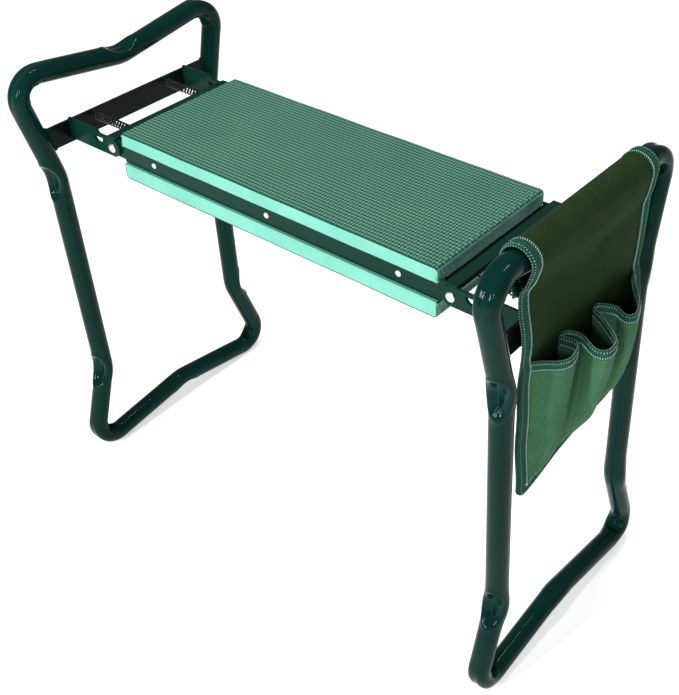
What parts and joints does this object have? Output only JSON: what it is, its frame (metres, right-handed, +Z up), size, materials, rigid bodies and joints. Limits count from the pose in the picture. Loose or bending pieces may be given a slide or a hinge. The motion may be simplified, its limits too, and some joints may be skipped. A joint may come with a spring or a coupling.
{
  "type": "folding garden kneeler seat",
  "caption": "Folding garden kneeler and seat: two bent tube end frames pivoted to a double foam-padded seat, with sprung lock bars and a hanging tool bag.",
  "frame": {"origin": "centre of the bounding box's footprint, at floor level with the seat open for sitting", "axes": "+X along the seat, from the plain end to the end with the tool bag; +Y from front to back; +Z up"},
  "size_m": [0.6356, 0.2872, 0.5065],
  "materials": {
    "eva_foam": "soft closed-cell foam, matt, textured top skin",
    "core_board": "plain board, hidden between the pads",
    "bracket_enamel": "dark green enamel, semi-gloss",
    "tube_enamel": "dark green enamel, high gloss",
    "dark_steel": "near-black green enamel, satin",
    "zinc_steel": "bright zinc-plated",
    "spring_steel": "dark oiled spring wire",
    "bag_cloth": "woven polyester, olive green, matt"
  },
  "bodies": {
    "seat": {"upper_foam_pad": "eva_foam", "lower_foam_pad": "eva_foam", "core_board": "core_board", "front_rail": "bracket_enamel", "rear_rail": "bracket_enamel", "left_end_member": "bracket_enamel", "right_end_member": "bracket_enamel", "front_rail_left_rivet": "zinc_steel", "front_rail_middle_rivet": "zinc_steel", "front_rail_right_rivet": "zinc_steel", "rear_rail_left_rivet": "zinc_steel", "rear_rail_middle_rivet": "zinc_steel", "rear_rail_right_rivet": "zinc_steel"},
    "left_frame": {"left_frame_tube": "tube_enamel", "left_cross_bar": "dark_steel", "left_front_ear": "bracket_enamel", "left_rear_ear": "bracket_enamel", "left_front_pivot_rivet": "zinc_steel", "left_rear_pivot_rivet": "zinc_steel", "left_front_pivot_washer": "zinc_steel", "left_rear_pivot_washer": "zinc_steel", "left_front_spring": "spring_steel", "left_rear_spring": "spring_steel"},
    "right_frame": {"right_frame_tube": "tube_enamel", "right_cross_bar": "dark_steel", "right_front_ear": "bracket_enamel", "right_rear_ear": "bracket_enamel", "right_front_pivot_rivet": "zinc_steel", "right_rear_pivot_rivet": "zinc_steel", "right_front_pivot_washer": "zinc_steel", "right_rear_pivot_washer": "zinc_steel", "right_front_spring": "spring_steel", "right_rear_spring": "spring_steel", "bag_panel": "bag_cloth", "bag_front_pocket": "bag_cloth", "bag_middle_pocket": "bag_cloth", "bag_rear_pocket": "bag_cloth"},
    "left_lock": {"left_lock_bar": "dark_steel"},
    "right_lock": {"right_lock_bar": "dark_steel"}
  },
  "joints": [
    {"name": "left_fold", "type": "hinge", "parent": "seat", "child": "left_frame", "pos_m": [-0.23475, 0, 0.4215], "axis": [0, -1, 0], "range_deg": [0, 94], "deforming": ["left_front_spring", "left_rear_spring"]},
    {"name": "right_fold", "type": "hinge", "parent": "seat", "child": "right_frame", "pos_m": [0.20125, 0, 0.4215], "axis": [0, 1, 0], "range_deg": [0, 86], "deforming": ["right_front_spring", "right_rear_spring"]},
    {"name": "left_lock_slide", "type": "slide", "parent": "seat", "child": "left_lock", "axis": [1, 0, 0], "range_m": [0, 0.007], "stiffness_N_per_m": 500, "springref_m": -0.012},
    {"name": "right_lock_slide", "type": "slide", "parent": "seat", "child": "right_lock", "axis": [-1, 0, 0], "range_m": [0, 0.007], "stiffness_N_per_m": 500, "springref_m": -0.012}
  ]
}
